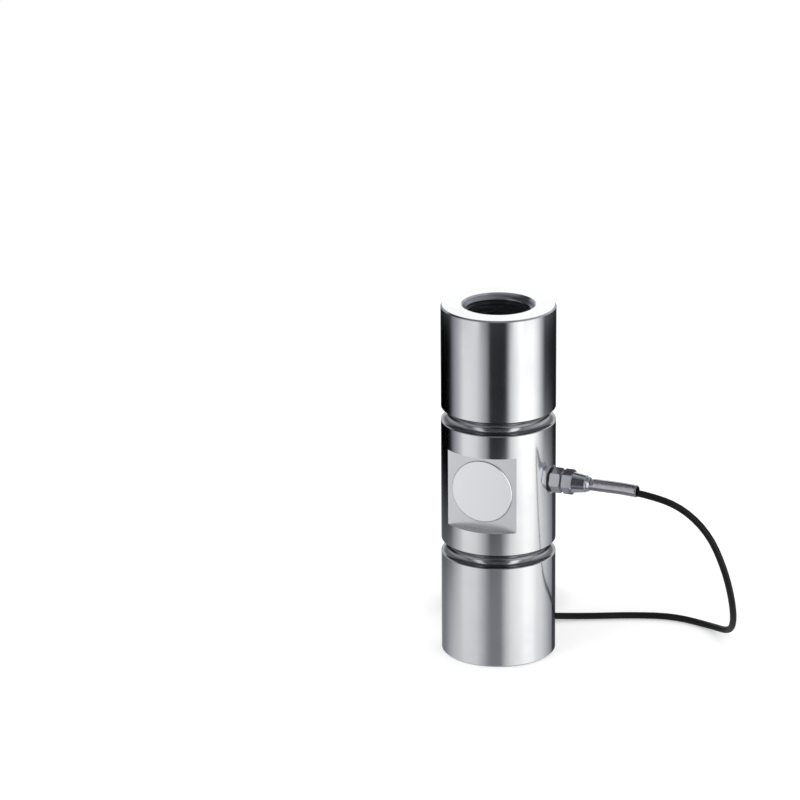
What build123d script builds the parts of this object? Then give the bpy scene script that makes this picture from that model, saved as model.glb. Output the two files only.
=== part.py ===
from build123d import *
from math import cos, pi, radians, sin, tan
import os

# Column load cell, 76 mm across and 241 mm tall, standing on its lower end.
# One steel column carries everything: a blind threaded hole in each end, two turned
# grooves that free the middle section from the ends, a milled flat front and rear, and
# behind each flat a round pocket. The two pockets leave a thin web between them, and the
# strain gauges sit on both sides of that web under welded covers.
# The signal cable leaves through a gland at the side and lies on the floor behind.
# Millimetres. Origin: centre of the bottom face. +Z runs up the column, the front flat
# faces -Y and the gland points to +X.

# Column
body_dia = 76.0
body_length = 241.0
edge_chamfer = 1.0
end_length = 70.0
groove_width = 8.8
groove_depth = 4.8
lip_chamfer = 0.5

# Threaded hole in each end, bored to the thread's major diameter
thread_dia = 45.0
thread_depth = 50.0
mouth_dia = 48.9
relief_dia = 46.6
relief_length = 5.0

# Flats, pockets and web
flat_depth = 8.6
flat_height = 52.0
pocket_dia = 36.0
pocket_fillet = 2.0
web_thickness = 8.0

# Covers
cover_dia = 42.0
cover_thickness = 2.0
cover_proud = 0.6
cover_chamfer = 0.3
cover_clearance = 0.1

# Strain gauges: a thin carrier with two solder tabs
gauge_length = 9.0
gauge_width = 5.5
gauge_thickness = 0.3
gauge_spacing = 11.0
gauge_rise = 4.5
tab_size = 1.4
tab_height = 0.25

# Terminal boards
board_length = 20.0
board_width = 7.0
board_thickness = 0.8
board_drop = 8.5
pad_dia = 2.2
pad_height = 0.5
pad_pitch = 4.4
small_pad_dia = 1.2
row_offset = 1.7
link_pad_dia = 1.0
link_pad_inset = 0.9

# Trimming resistors, one on each outer pair of the rear board's pads
resistor_dia = 1.6
resistor_length = 2.6
resistor_lead_dia = 0.4
resistor_rise = 1.2

# Wiring inside
lead_dia = 0.4
lead_arch = 1.6
conductor_dia = 0.9
conductor_spread = 0.7
conductor_bend = 2.0
crossover_dia = 0.6
crossover_spread = 0.9
crossover_hole_dia = 3.0
crossover_x = 13.6
crossover_arch = 3.0
crossover_bend = 1.0

# Cable port and wire passages
gland_rise = 3.5
spot_dia = 19.0
spot_depth = 1.0
port_dia = 12.0
port_wall = 5.0
passage_dia = 4.4
passage_x = 12.0
passage_y = 11.0

# Gland, along its own axis from the spot face outwards
gland_clearance = 0.1
hex_across_flats = 14.6
hex_turn = -12.0
hex_chamfer = 0.8
seal_thickness = 1.2
seal_dia = 15.6
body_hex_length = 7.2
stem_gap = 1.0
neck_dia = 10.8
neck_length = 9.5
gland_bore_dia = 5.2
nut_gap = 1.4
nut_hex_length = 6.7
nut_nose_wall = 2.2
nut_cone_dia = 14.0
nut_nose_dia = 11.2
nut_nose_fillet = 0.8
grommet_dia = 9.0
grommet_length = 4.0
washer_thickness = 0.6
washer_bore_play = 0.6
collar_length = 2.4
collar_dia = 10.0
collar_tip_dia = 8.2

# Kink guard sleeve, held in the nut by its flange and bending down a little outside
sleeve_dia = 7.6
sleeve_bore_dia = 6.2
sleeve_flange_dia = 8.8
sleeve_flange_thickness = 0.8
sleeve_length = 33.0
sleeve_bend_radius = 640.0

# Cable, with its route after the gland chosen by hand
cable_dia = 4.5
cable_inset = 0.5
cable_straight = 7.0
cable_route = [
    (104, 0, 122.15),
    (127, 2, 116),
    (144, 8, 98),
    (152, 17, 72),
    (154, 29, 46),
    (151, 44, 23),
    (142, 62, 8),
    (124, 80, 2.4),
    (95, 88, 2.3),
    (68, 80, 2.4),
    (40, 67, 2.3),
    (11.5, 53.1, 3.4),
]

# Cable coil, bound by two ties
coil_mid_dia = 52.0
coil_layers = 4
coil_corner = 4.0
coil_centre = (-30.0, 77.2)
coil_gap = 0.3
join_rise = 1.0
coil_lead_in_angle = -68.7
tie_width = 3.6
tie_thickness = 1.2
tie_clearance = 0.2
tie_head_size = 5.4
tie_head_height = 4.0

# Bare end of the cable: the jacket stops in a shrink sleeve and the cores fan out
tail_start = -8.0
tail_length = 18.0
shrink_dia = 5.8
shrink_length = 10.0
shrink_overlap = 4.0
shrink_play = 0.1
core_dia = 1.2
core_ring = 1.25
core_straight = 1.5
core_reach = 13.0
core_fan = 3.2
core_rest_height = 2.4
core_bend = 6.0
tip_dia = 0.8
tip_length = 4.0
cores = {"shield": 180, "white": 252, "green": 108, "black": 324, "red": 36}

# Worked out from the sizes above
body_r = body_dia / 2
mid_height = body_length / 2
flat_distance = body_r - flat_depth
web_face = web_thickness / 2
pocket_r = pocket_dia / 2
gland_height = mid_height + gland_rise
gauge_height = mid_height + gauge_rise
board_height = mid_height - board_drop
link_pad_x = board_length / 2 - link_pad_inset
pad_top = web_face + board_thickness + pad_height
pad_row = board_height - row_offset
sides = {"front": 1, "rear": -1}


def side_plane(side, distance, height=mid_height):
    """Plane facing out of the front (1) or rear (-1), so far from the column's axis."""
    return Plane(origin=(0, -side * distance, height), x_dir=(side, 0, 0), z_dir=(0, -side, 0))


def gland_plane(x):
    """Plane across the gland's axis, facing outwards, with its own x along +Y."""
    return Plane(origin=(x, 0, gland_height), x_dir=(0, 1, 0), z_dir=(1, 0, 0))


def save(part, label):
    """Label a finished piece and write it."""
    part.label = label
    export_step(part, f"parts/{label}.step")


def wire(points, dia, bend):
    """Round wire along straight runs joined by arcs of one radius, or of one each."""
    start, second = Vector(*points[0]), Vector(*points[1])
    with BuildPart() as piece:
        with BuildLine():
            FilletPolyline(*points, radius=bend)
        with BuildSketch(Plane(origin=start, z_dir=second - start)):
            Circle(dia / 2)
        sweep()
    return piece.part


os.makedirs("parts", exist_ok=True)

# Column body
spot_x = body_r - spot_depth
port_bottom = pocket_r + port_wall
with BuildPart() as column:
    Cylinder(body_r, body_length, align=(Align.CENTER, Align.CENTER, Align.MIN))
    chamfer(column.edges().filter_by(GeomType.CIRCLE), edge_chamfer)
    # Round-bottomed grooves, each with a small broken edge at both lips
    groove_r = groove_width / 2
    for groove_z in (end_length + groove_r, body_length - end_length - groove_r):
        with BuildSketch(Plane.XZ):
            with Locations((body_r - groove_depth + groove_r, groove_z)):
                Circle(groove_r)
            with BuildLine():
                Polyline(
                    (body_r - groove_depth + groove_r, groove_z - groove_r),
                    (body_r - lip_chamfer, groove_z - groove_r),
                    (body_r + lip_chamfer, groove_z - groove_r - 2 * lip_chamfer),
                    (body_r + lip_chamfer, groove_z + groove_r + 2 * lip_chamfer),
                    (body_r - lip_chamfer, groove_z + groove_r),
                    (body_r - groove_depth + groove_r, groove_z + groove_r),
                    close=True,
                )
            make_face()
        revolve(axis=Axis.Z, mode=Mode.SUBTRACT)
    # Blind threaded holes with a mouth chamfer and a relief at the bottom
    for end in (Plane.XY.offset(body_length), Plane(origin=(0, 0, 0), z_dir=(0, 0, -1))):
        with Locations(end):
            CounterSinkHole(
                thread_dia / 2, mouth_dia / 2, depth=thread_depth + relief_length, counter_sink_angle=90
            )
        with BuildSketch(end.offset(-thread_depth)):
            Circle(relief_dia / 2)
        extrude(amount=-relief_length, mode=Mode.SUBTRACT)
    # Flats, cover seats and gauge pockets
    seat_depth = cover_thickness - cover_proud
    for side in sides.values():
        with BuildSketch(side_plane(side, flat_distance)):
            Rectangle(body_dia, flat_height)
        extrude(amount=body_r, mode=Mode.SUBTRACT)
        with BuildSketch(side_plane(side, flat_distance)):
            Circle(cover_dia / 2 + cover_clearance)
        extrude(amount=-seat_depth, mode=Mode.SUBTRACT)
        with BuildSketch(side_plane(side, web_face)):
            Circle(pocket_r)
        pocket_depth = flat_distance - web_face
        extrude(amount=pocket_depth, mode=Mode.SUBTRACT)
        pocket_floor = column.faces().filter_by(
            lambda f: f.geom_type == GeomType.PLANE
            and abs(f.center().Y + side * web_face) < 0.01
            and abs(f.normal_at().Y) > 0.99
        )
        fillet(pocket_floor.edges().filter_by(GeomType.CIRCLE), pocket_fillet)
    # Spot face and port for the gland
    with BuildSketch(gland_plane(spot_x)):
        Circle(spot_dia / 2)
    extrude(amount=body_r, mode=Mode.SUBTRACT)
    with BuildSketch(gland_plane(port_bottom)):
        Circle(port_dia / 2)
    extrude(amount=body_r, mode=Mode.SUBTRACT)
    # Drilled passages from the bottom of the port into each pocket
    for side in sides.values():
        port_end = Vector(port_bottom + passage_dia / 2, 0, gland_height)
        pocket_end = Vector(passage_x, -side * passage_y, gland_height)
        with BuildSketch(Plane(origin=port_end, z_dir=pocket_end - port_end)):
            Circle(passage_dia / 2)
        extrude(amount=(pocket_end - port_end).length, mode=Mode.SUBTRACT)
    # Hole through the web for the wires between the two sides
    with BuildSketch(side_plane(1, -web_thickness, board_height)):
        with Locations((-crossover_x, 0)):
            Circle(crossover_hole_dia / 2)
    extrude(amount=2 * web_thickness, mode=Mode.SUBTRACT)
save(column.part, "column_body")

# Pieces on each side of the web, laid out in the side's own plane
gauges = {"axial": (-gauge_spacing / 2, 0), "transverse": (gauge_spacing / 2, 90)}
for name, side in sides.items():
    with BuildPart() as cover:
        with BuildSketch(side_plane(side, flat_distance - seat_depth)):
            Circle(cover_dia / 2)
        extrude(amount=cover_thickness)
        rim = cover.faces().sort_by(Axis.Y)[0 if side == 1 else -1].edges()
        chamfer(rim, cover_chamfer)
    save(cover.part, f"{name}_cover")

    for kind, (gauge_x, turn) in gauges.items():
        # A transverse gauge is the same piece lying on its side
        with BuildPart() as gauge:
            with BuildSketch(side_plane(side, web_face, gauge_height)):
                with Locations((gauge_x, 0)):
                    Rectangle(gauge_width, gauge_length, rotation=turn)
            extrude(amount=gauge_thickness)
            tab_drop = gauge_length / 2 if turn == 0 else gauge_width / 2
            with BuildSketch(side_plane(side, web_face + gauge_thickness, gauge_height)):
                with Locations((gauge_x, tab_size - tab_drop)):
                    with GridLocations(gauge_width / 2, 1, 2, 1):
                        Rectangle(tab_size, tab_size)
            extrude(amount=tab_height)
        save(gauge.part, f"{name}_{kind}_gauge")

        # Two fine wires from its tabs to the small pads of the board
        for index, shift in enumerate((-1, 1)):
            start = (
                gauge_x + shift * gauge_width / 4,
                gauge_height + tab_size - tab_drop,
                web_face + gauge_thickness + tab_height + lead_dia / 2,
            )
            stop = (
                gauge_x + shift * pad_pitch / 2,
                board_height + row_offset,
                pad_top + lead_dia / 2,
            )
            middle = (
                (start[0] + stop[0]) / 2,
                (start[1] + stop[1]) / 2,
                max(start[2], stop[2]) + lead_arch,
            )
            points = [(side * x, -side * y, z) for x, z, y in (start, middle, stop)]
            save(wire(points, lead_dia, lead_arch), f"{name}_{kind}_lead_{index + 1}")

    with BuildPart() as board:
        with BuildSketch(side_plane(side, web_face, board_height)):
            Rectangle(board_length, board_width)
        extrude(amount=board_thickness)
        with BuildSketch(side_plane(side, web_face + board_thickness, board_height)):
            with Locations((0, -row_offset)):
                with GridLocations(pad_pitch, 1, 4, 1):
                    Circle(pad_dia / 2)
            for gauge_x, _ in gauges.values():
                with Locations((gauge_x, row_offset)):
                    with GridLocations(pad_pitch, 1, 2, 1):
                        Circle(small_pad_dia / 2)
            with Locations((-side * link_pad_x, 0)):
                with GridLocations(1, 2 * crossover_spread, 1, 2):
                    Circle(link_pad_dia / 2)
        extrude(amount=pad_height)
    save(board.part, f"{name}_terminal_board")

# Two trimming resistors, each standing on two big pads of the rear board
for index, shift in enumerate((-1, 1)):
    near, far = shift * pad_pitch / 2, shift * 3 * pad_pitch / 2
    top = pad_top + resistor_rise
    legs = [(near, pad_top, pad_row), (near, top, pad_row), (far, top, pad_row), (far, pad_top, pad_row)]
    with BuildPart() as resistor:
        add(wire(legs, resistor_lead_dia, resistor_lead_dia))
        middle = ((near + far) / 2, top, pad_row)
        with BuildSketch(Plane(origin=middle, z_dir=(1, 0, 0))):
            Circle(resistor_dia / 2)
        extrude(amount=resistor_length / 2, both=True)
    save(resistor.part, f"trim_resistor_{index + 1}")

# Two wires through the hole in the web, from board to board
for index, shift in enumerate((-1, 1)):
    height = board_height + shift * crossover_spread
    half = [(-link_pad_x, pad_top + crossover_dia / 2), (-crossover_x, pad_top + crossover_arch)]
    points = [(x, -y, height) for x, y in half] + [(x, y, height) for x, y in reversed(half)]
    save(wire(points, crossover_dia, crossover_bend), f"crossover_wire_{index + 1}")

# Gland, stacked outwards from the spot face
gland_axis = Axis((0, 0, gland_height), (1, 0, 0))
stem_start = port_bottom + stem_gap
hex_start = spot_x + seal_thickness
neck_start = hex_start + body_hex_length
neck_end = neck_start + neck_length
nut_start = neck_start + nut_gap
cone_start = nut_start + nut_hex_length
grommet_end = neck_end + grommet_length
sleeve_start = grommet_end + washer_thickness
nose_start = sleeve_start + sleeve_flange_thickness
nose_end = nose_start + nut_nose_wall
collar_end = nose_end + collar_length
stem_r = port_dia / 2 - gland_clearance
bore_r = gland_bore_dia / 2
sleeve_r = sleeve_dia / 2


def gland_profile(*points):
    """Face to turn about the gland's axis, from pairs of place along it and radius."""
    with BuildSketch(Plane.XZ) as profile:
        with BuildLine():
            Polyline(*[(x, gland_height + radius) for x, radius in points], close=True)
        make_face()
    return profile.sketch


def gland_hexagon(start, length):
    """Hexagon on the gland's axis with its corners turned off at both ends."""
    corner_r = hex_across_flats / 2 / cos(pi / 6)
    end = start + length
    with BuildPart() as bar:
        with BuildSketch(gland_plane(start)):
            RegularPolygon(hex_across_flats / 2, 6, major_radius=False, rotation=-hex_turn)
        extrude(amount=length)
        blank = gland_profile(
            (start, 0),
            (start, corner_r - hex_chamfer),
            (start + hex_chamfer / 2, corner_r),
            (end - hex_chamfer / 2, corner_r),
            (end, corner_r - hex_chamfer),
            (end, 0),
        )
        revolve(blank, axis=gland_axis, mode=Mode.INTERSECT)
    return bar.part


with BuildPart() as seal_washer:
    with BuildSketch(gland_plane(spot_x)):
        Circle(seal_dia / 2)
        Circle(stem_r + gland_clearance, mode=Mode.SUBTRACT)
    extrude(amount=seal_thickness)
save(seal_washer.part, "gland_seal_washer")

with BuildPart() as gland_body:
    add(gland_hexagon(hex_start, body_hex_length))
    with BuildSketch(gland_plane(stem_start)):
        Circle(stem_r)
    extrude(amount=hex_start - stem_start)
    with BuildSketch(gland_plane(neck_start)):
        Circle(neck_dia / 2)
    extrude(amount=neck_length)
    with BuildSketch(gland_plane(stem_start)):
        Circle(bore_r)
    extrude(amount=neck_end - stem_start, mode=Mode.SUBTRACT)
save(gland_body.part, "gland_body")

with BuildPart() as grommet:
    with BuildSketch(gland_plane(neck_end)):
        Circle(grommet_dia / 2)
        Circle(cable_dia / 2 + gland_clearance, mode=Mode.SUBTRACT)
    extrude(amount=grommet_length)
save(grommet.part, "gland_grommet")

with BuildPart() as thrust_washer:
    with BuildSketch(gland_plane(grommet_end)):
        Circle(grommet_dia / 2)
        Circle(cable_dia / 2 + washer_bore_play, mode=Mode.SUBTRACT)
    extrude(amount=washer_thickness)
save(thrust_washer.part, "gland_thrust_washer")

with BuildPart() as gland_nut:
    add(gland_hexagon(nut_start, nut_hex_length))
    cone = gland_profile(
        (cone_start, 0), (cone_start, nut_cone_dia / 2), (nose_end, nut_nose_dia / 2), (nose_end, 0)
    )
    revolve(cone, axis=gland_axis)
    fillet(gland_nut.edges().filter_by(GeomType.CIRCLE).sort_by(Axis.X)[-1], nut_nose_fillet)
    neck_room = neck_dia / 2 + gland_clearance
    inner_room = grommet_dia / 2 + gland_clearance
    nose_room = sleeve_r + gland_clearance
    bore = gland_profile(
        (nut_start, 0),
        (nut_start, neck_room),
        (neck_end + gland_clearance, neck_room),
        (neck_end + gland_clearance, inner_room),
        (nose_start, inner_room),
        (nose_start, nose_room),
        (nose_end, nose_room),
        (nose_end, 0),
    )
    revolve(bore, axis=gland_axis, mode=Mode.SUBTRACT)
save(gland_nut.part, "gland_nut")

with BuildPart() as collar:
    ring = gland_profile(
        (nose_end, nose_room),
        (nose_end, collar_dia / 2),
        (nose_end + collar_length / 2, collar_dia / 2),
        (collar_end, collar_tip_dia / 2),
        (collar_end, nose_room),
    )
    revolve(ring, axis=gland_axis)
save(collar.part, "gland_collar")

with BuildPart() as sleeve:
    with BuildLine(Plane.XZ) as sleeve_line:
        stem = Line((sleeve_start, gland_height), (collar_end, gland_height))
        JernArc(stem @ 1, stem % 1, sleeve_bend_radius, -sleeve_length / sleeve_bend_radius * 180 / pi)
    with BuildSketch(gland_plane(sleeve_start)):
        Circle(sleeve_r)
        Circle(sleeve_bore_dia / 2, mode=Mode.SUBTRACT)
    sweep(path=sleeve_line.line)
    with BuildSketch(gland_plane(sleeve_start)):
        Circle(sleeve_flange_dia / 2)
        Circle(sleeve_bore_dia / 2, mode=Mode.SUBTRACT)
    extrude(amount=sleeve_flange_thickness)
save(sleeve.part, "kink_guard_sleeve")

# Four conductors from the start of the cable, through the passage to the front board
cable_start = spot_x + cable_inset
conductor_rest = pad_top + conductor_dia
conductor_spots = {
    "conductor_red": (-1, -1, 3),
    "conductor_black": (1, -1, 1),
    "conductor_green": (-1, 1, -1),
    "conductor_white": (1, 1, -3),
}
for name, (inward, upward, pad) in conductor_spots.items():
    shift_y = -inward * conductor_spread
    height = gland_height + upward * conductor_spread
    points = [
        (cable_start, shift_y, height),
        (port_bottom + passage_dia / 2, shift_y, height),
        (passage_x, shift_y - passage_y, height),
        (pad * pad_pitch / 2, -conductor_rest, pad_row),
    ]
    save(wire(points, conductor_dia, conductor_bend), name)

# Coil of spare cable on two ties, flat on the floor behind the column
coil_mid_r = coil_mid_dia / 2
coil_width = coil_layers * cable_dia
coil_outer_r = coil_mid_r + coil_width / 2
coil_bottom = tie_thickness + tie_clearance
coil_x, coil_y = coil_centre


def coil_plane(angle, radius, height):
    """Upright plane through the coil's centre line, its own x pointing away from the centre."""
    outward = Vector(cos(radians(angle)), sin(radians(angle)), 0)
    origin = Vector(coil_x, coil_y, height) + outward * radius
    return Plane(origin=origin, x_dir=outward, z_dir=outward.cross(Vector(0, 0, 1)))


with BuildPart() as coil:
    with BuildSketch(coil_plane(0, coil_mid_r, coil_bottom + coil_width / 2)):
        RectangleRounded(coil_width, coil_width, coil_corner)
    revolve(axis=Axis((coil_x, coil_y, 0), (0, 0, 1)))
save(coil.part, "cable_coil")

# Each tie is a band round the bundle with its square lock on top
for index, angle in enumerate((coil_lead_in_angle + 90, coil_lead_in_angle - 90)):
    middle = coil_plane(angle, coil_mid_r, coil_bottom + coil_width / 2)
    with BuildPart() as tie:
        with BuildSketch(middle):
            for growth, mode in ((tie_clearance + tie_thickness, Mode.ADD), (tie_clearance, Mode.SUBTRACT)):
                side_length = coil_width + 2 * growth
                RectangleRounded(side_length, side_length, coil_corner + growth, mode=mode)
        extrude(amount=tie_width / 2, both=True)
        head_bottom = coil_bottom + coil_width + tie_clearance + tie_thickness / 2
        with BuildSketch(Plane(origin=(middle.origin.X, middle.origin.Y, head_bottom), x_dir=middle.x_dir)):
            Rectangle(tie_head_size, tie_head_size)
        extrude(amount=tie_head_height)
    save(tie.part, f"cable_tie_{index + 1}")

# Cable from inside the gland to the side of the coil that it joins
lead_in = Vector(cos(radians(coil_lead_in_angle)), sin(radians(coil_lead_in_angle)), 0)
join_r = coil_outer_r + coil_gap + cable_dia / 2
join_height = coil_bottom + coil_corner + join_rise
join = Vector(coil_x, coil_y, join_height) + lead_in * join_r
cable_points = [
    (cable_start, 0, gland_height),
    (nose_end + cable_straight, 0, gland_height),
    *cable_route,
    (join.X, join.Y, join.Z),
]
corners = [Vector(*point) for point in cable_points]
runs = [after - before for before, after in zip(corners, corners[1:])]
turns = [before.get_angle(after) for before, after in zip(runs, runs[1:])]
bends = [
    0.45 * min(before.length, after.length) / tan(radians(turn / 2))
    for before, after, turn in zip(runs, runs[1:], turns)
]
cable = wire(cable_points, cable_dia, bends)
save(cable, "cable")
arcs = sum(radius * (radians(turn) - 2 * tan(radians(turn / 2))) for radius, turn in zip(bends, turns))
cable_run = sum(run.length for run in runs) + arcs
print("cable runs", [round(run.length, 1) for run in runs])
print("cable turns", [round(turn, 1) for turn in turns])
print("cable bend radii", [round(radius, 1) for radius in bends])
print("cable length", round(cable_run, 1), "volume", round(cable.volume, 1))
print("section times length", round(pi * cable_dia**2 / 4 * cable_run, 1))

# Bare end of the cable, on the far side of the coil
forward = lead_in.cross(Vector(0, 0, 1))
tail_base = Vector(coil_x, coil_y, join_height) - lead_in * join_r


def tail_plane(place):
    """Plane across the tail, facing its end, its own x pointing away from the coil."""
    return Plane(origin=tail_base - forward * place, x_dir=-lead_in, z_dir=-forward)


tail_end = tail_start + tail_length
with BuildPart() as tail:
    with BuildSketch(tail_plane(tail_start)):
        Circle(cable_dia / 2)
    extrude(amount=tail_length)
save(tail.part, "cable_tail")

shrink_start = tail_end - shrink_overlap
shrink_end = shrink_start + shrink_length
with BuildPart() as shrink:
    with BuildSketch(tail_plane(shrink_start)):
        Circle(shrink_dia / 2)
        Circle(cable_dia / 2 + shrink_play, mode=Mode.SUBTRACT)
    extrude(amount=shrink_length)
save(shrink.part, "tail_shrink_sleeve")

for index, (name, angle) in enumerate(cores.items()):
    aside, up = core_ring * cos(radians(angle)), core_ring * sin(radians(angle))
    start = tail_plane(tail_end).from_local_coords((aside, up, 0))
    middle = tail_plane(shrink_end + core_straight).from_local_coords((aside, up, 0))
    landing = ((index - 2) * core_fan, core_rest_height - join_height, 0)
    stop = tail_plane(shrink_end + core_reach).from_local_coords(landing)
    with BuildPart() as core:
        add(wire([tuple(start), tuple(middle), tuple(stop)], core_dia, core_bend))
        with BuildSketch(Plane(origin=stop, z_dir=stop - middle)):
            Circle(tip_dia / 2)
        extrude(amount=tip_length)
    save(core.part, f"core_{name}")
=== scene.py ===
from math import cos, pi, radians, sin

import bmesh
import bpy
from mathutils import Matrix, Quaternion, Vector


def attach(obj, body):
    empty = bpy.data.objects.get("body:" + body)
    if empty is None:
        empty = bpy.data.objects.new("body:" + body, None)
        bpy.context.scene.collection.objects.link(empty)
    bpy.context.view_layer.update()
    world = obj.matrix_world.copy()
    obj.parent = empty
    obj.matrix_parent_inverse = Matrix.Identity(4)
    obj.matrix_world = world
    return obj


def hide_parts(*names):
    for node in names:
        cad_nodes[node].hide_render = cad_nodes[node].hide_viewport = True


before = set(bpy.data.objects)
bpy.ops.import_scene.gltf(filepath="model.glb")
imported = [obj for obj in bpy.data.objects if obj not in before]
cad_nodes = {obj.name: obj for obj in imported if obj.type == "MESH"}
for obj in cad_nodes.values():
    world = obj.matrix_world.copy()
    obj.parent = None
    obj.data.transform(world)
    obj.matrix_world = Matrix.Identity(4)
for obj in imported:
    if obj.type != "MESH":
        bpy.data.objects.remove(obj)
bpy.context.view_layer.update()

# Camera: the photograph's view, from 20 degrees above the floor and 21 degrees round
# from the front cover, through a long lens. The picture's middle is a little above and to
# the left of the column's, so the camera is turned that way from it.
mm = 0.001
view_turn, view_rise = radians(21.3), radians(20.05)
camera_distance = 2.85
middle_of_column = Vector((0, 0, 120.5 * mm))
towards_camera = Vector(
    (sin(view_turn) * cos(view_rise), -cos(view_turn) * cos(view_rise), sin(view_rise))
)
lens = bpy.data.cameras.new("camera")
lens.lens = 193.7
lens.sensor_width = 36
camera = bpy.data.objects.new("camera", lens)
camera.location = middle_of_column + towards_camera * camera_distance
camera.rotation_mode = "QUATERNION"
off_column = Quaternion((radians(1.0253), radians(1.3104), radians(0.0105)))
camera.rotation_quaternion = (-towards_camera).to_track_quat("-Z", "Y") @ off_column
bpy.context.scene.collection.objects.link(camera)
bpy.context.scene.camera = camera
bpy.context.scene.view_settings.view_transform = "Standard"


# Signal cable: 3 m of 4.5 mm cable with a black jacket. It leaves the gland, hangs down to
# the floor and ends in a bound coil of fifteen and a half turns behind the column, whose
# last turn leaves on the far side and stops in the shrink sleeve.
class Signal:
    """A socket in the node tree of a finish. Arithmetic on it adds Math nodes."""

    def __init__(self, tree, socket=None):
        self.tree = tree
        self.socket = socket

    def node(self, kind, settings=None, sockets=None, output=0):
        """Another node, given its settings first and then its sockets' values or links."""
        made = self.tree.nodes.new("ShaderNode" + kind)
        for name, value in (settings or {}).items():
            if name == "stops":
                ramp = made.color_ramp
                while len(ramp.elements) < len(value):
                    ramp.elements.new(1.0)
                for element, (place, colour) in zip(ramp.elements, value):
                    element.position = place
                    element.color = (*colour, 1.0)
            else:
                setattr(made, name, value)
        for name, value in (sockets or {}).items():
            if isinstance(value, Signal):
                self.tree.links.new(value.socket, made.inputs[name])
            else:
                made.inputs[name].default_value = value
        return Signal(self.tree, made.outputs[output])

    def maths(self, operation, first, second=0.0):
        return self.node("Math", {"operation": operation}, {0: first, 1: second})

    def __add__(self, other):
        return self.maths("ADD", self, other)

    def __radd__(self, other):
        return self.maths("ADD", other, self)

    def __sub__(self, other):
        return self.maths("SUBTRACT", self, other)

    def __rsub__(self, other):
        return self.maths("SUBTRACT", other, self)

    def __mul__(self, other):
        return self.maths("MULTIPLY", self, other)

    def __truediv__(self, other):
        return self.maths("DIVIDE", self, other)

    def __gt__(self, other):
        return self.maths("GREATER_THAN", self, other)

    def __lt__(self, other):
        return self.maths("LESS_THAN", self, other)

    def __abs__(self):
        return self.maths("ABSOLUTE", self)


def part_of(place, axis):
    """The X, Y or Z of a vector signal."""
    return place.node("SeparateXYZ", None, {0: place}, output=axis)


def smooth_step(signal, low, high):
    """0 below low, 1 above high and a smooth rise between them."""
    return signal.node(
        "MapRange", {"interpolation_type": "SMOOTHSTEP"}, {"Value": signal, "From Min": low, "From Max": high}
    )


def noise(place, scale, detail=2.0, roughness=0.5):
    """Soft irregular blotches, so many to a metre."""
    return place.node(
        "TexNoise", None, {"Vector": place, "Scale": scale, "Detail": detail, "Roughness": roughness}
    )


def lines(along, pitch):
    """Irregular fine lines across one direction, such as a tool's marks."""
    return along.node(
        "TexNoise", {"noise_dimensions": "1D"}, {"W": along, "Scale": 1 / pitch, "Detail": 3.0}
    )


def blend_colours(factor, first, second):
    """A colour between two, by the factor."""
    first, second = (c if isinstance(c, Signal) else (*c, 1.0) for c in (first, second))
    return factor.node("Mix", {"data_type": "RGBA"}, {0: factor, 6: first, 7: second}, output=2)


def relief(height, depth, strength=1.0):
    """Normal of a surface whose fine height is the signal times a depth in metres."""
    return height.node("Bump", None, {"Height": height, "Distance": depth, "Strength": strength})


class Finish:
    """A material with its Principled shader. Constant sockets are set when it is made."""

    def __init__(self, name, **constants):
        self.material = bpy.data.materials.new(name)
        self.material.use_nodes = True
        tree = self.material.node_tree
        self.shader = tree.nodes["Principled BSDF"]
        for socket, value in constants.items():
            self.input(socket).default_value = value
        self.place = Signal(tree).node("TexCoord", output="Object")

    def input(self, socket):
        """The shader's socket that a keyword names."""
        return self.shader.inputs[socket.replace("_", " ").title().replace("Ior", "IOR")]

    def set(self, **sockets):
        """Feeds the shader's sockets from signals."""
        tree = self.material.node_tree
        for socket, value in sockets.items():
            tree.links.new(value.socket, self.input(socket))


def add_piece(data, name, finish):
    """A finished mesh or curve becomes a piece that rides on the load cell."""
    piece = bpy.data.objects.new(name, data)
    bpy.context.scene.collection.objects.link(piece)
    data.materials.append(finish.material)
    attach(piece, "root")
    return piece


jacket = Finish("cable_jacket", specular_ior_level=0.3)
jacket_grain = noise(jacket.place, 2400.0, 3.0)
jacket_wear = smooth_step(noise(jacket.place, 60.0, 4.0), 0.45, 0.75)
jacket.set(
    base_color=blend_colours(jacket_wear, (0.006, 0.006, 0.007), (0.013, 0.013, 0.014)),
    roughness=0.42 + jacket_wear * 0.16 + jacket_grain * 0.06,
    normal=relief(jacket_grain, 0.03 * mm, 0.6),
)

cable_dia = 4.5
gland_height = 124.0
cable_route = [
    (37.5, 0, 124),
    (69.5, 0, 124),
    (104, 0, 122.15),
    (127, 2, 116),
    (144, 8, 98),
    (152, 17, 72),
    (154, 29, 46),
    (151, 44, 23),
    (142, 62, 8),
    (124, 80, 2.4),
    (95, 88, 2.3),
    (68, 80, 2.4),
    (40, 67, 2.3),
    (11.5, 53.1, 3.4),
]
coil_x, coil_y = -30.0, 77.2
coil_mid_r, coil_middle_column = 26.0, 1.5
coil_bottom = 1.4
join_r, join_height = 37.55, 6.4
coil_lead_in_angle = -68.7
points_per_turn = 24
turns = 15.5
steps_to_settle, steps_to_level = 4, 3

# Place of each turn in the square bundle: how far out, then how high. Each turn crosses to
# the next place on the side away from the lead-in, and swells out where it climbs.
bundle_order = [
    (3, 0), (2, 0), (1, 0), (0, 0), (0, 1), (1, 1), (2, 1), (2, 2),
    (1, 2), (0, 2), (0, 3), (1, 3), (2, 3), (3, 3), (3, 2), (3, 1),
]


def round_coil(angle, radius, height):
    """Point at an angle, in degrees, round the coil's centre."""
    return (coil_x + radius * cos(radians(angle)), coil_y + radius * sin(radians(angle)), height)


def ease(share):
    return share * share * (3 - 2 * share)


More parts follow.
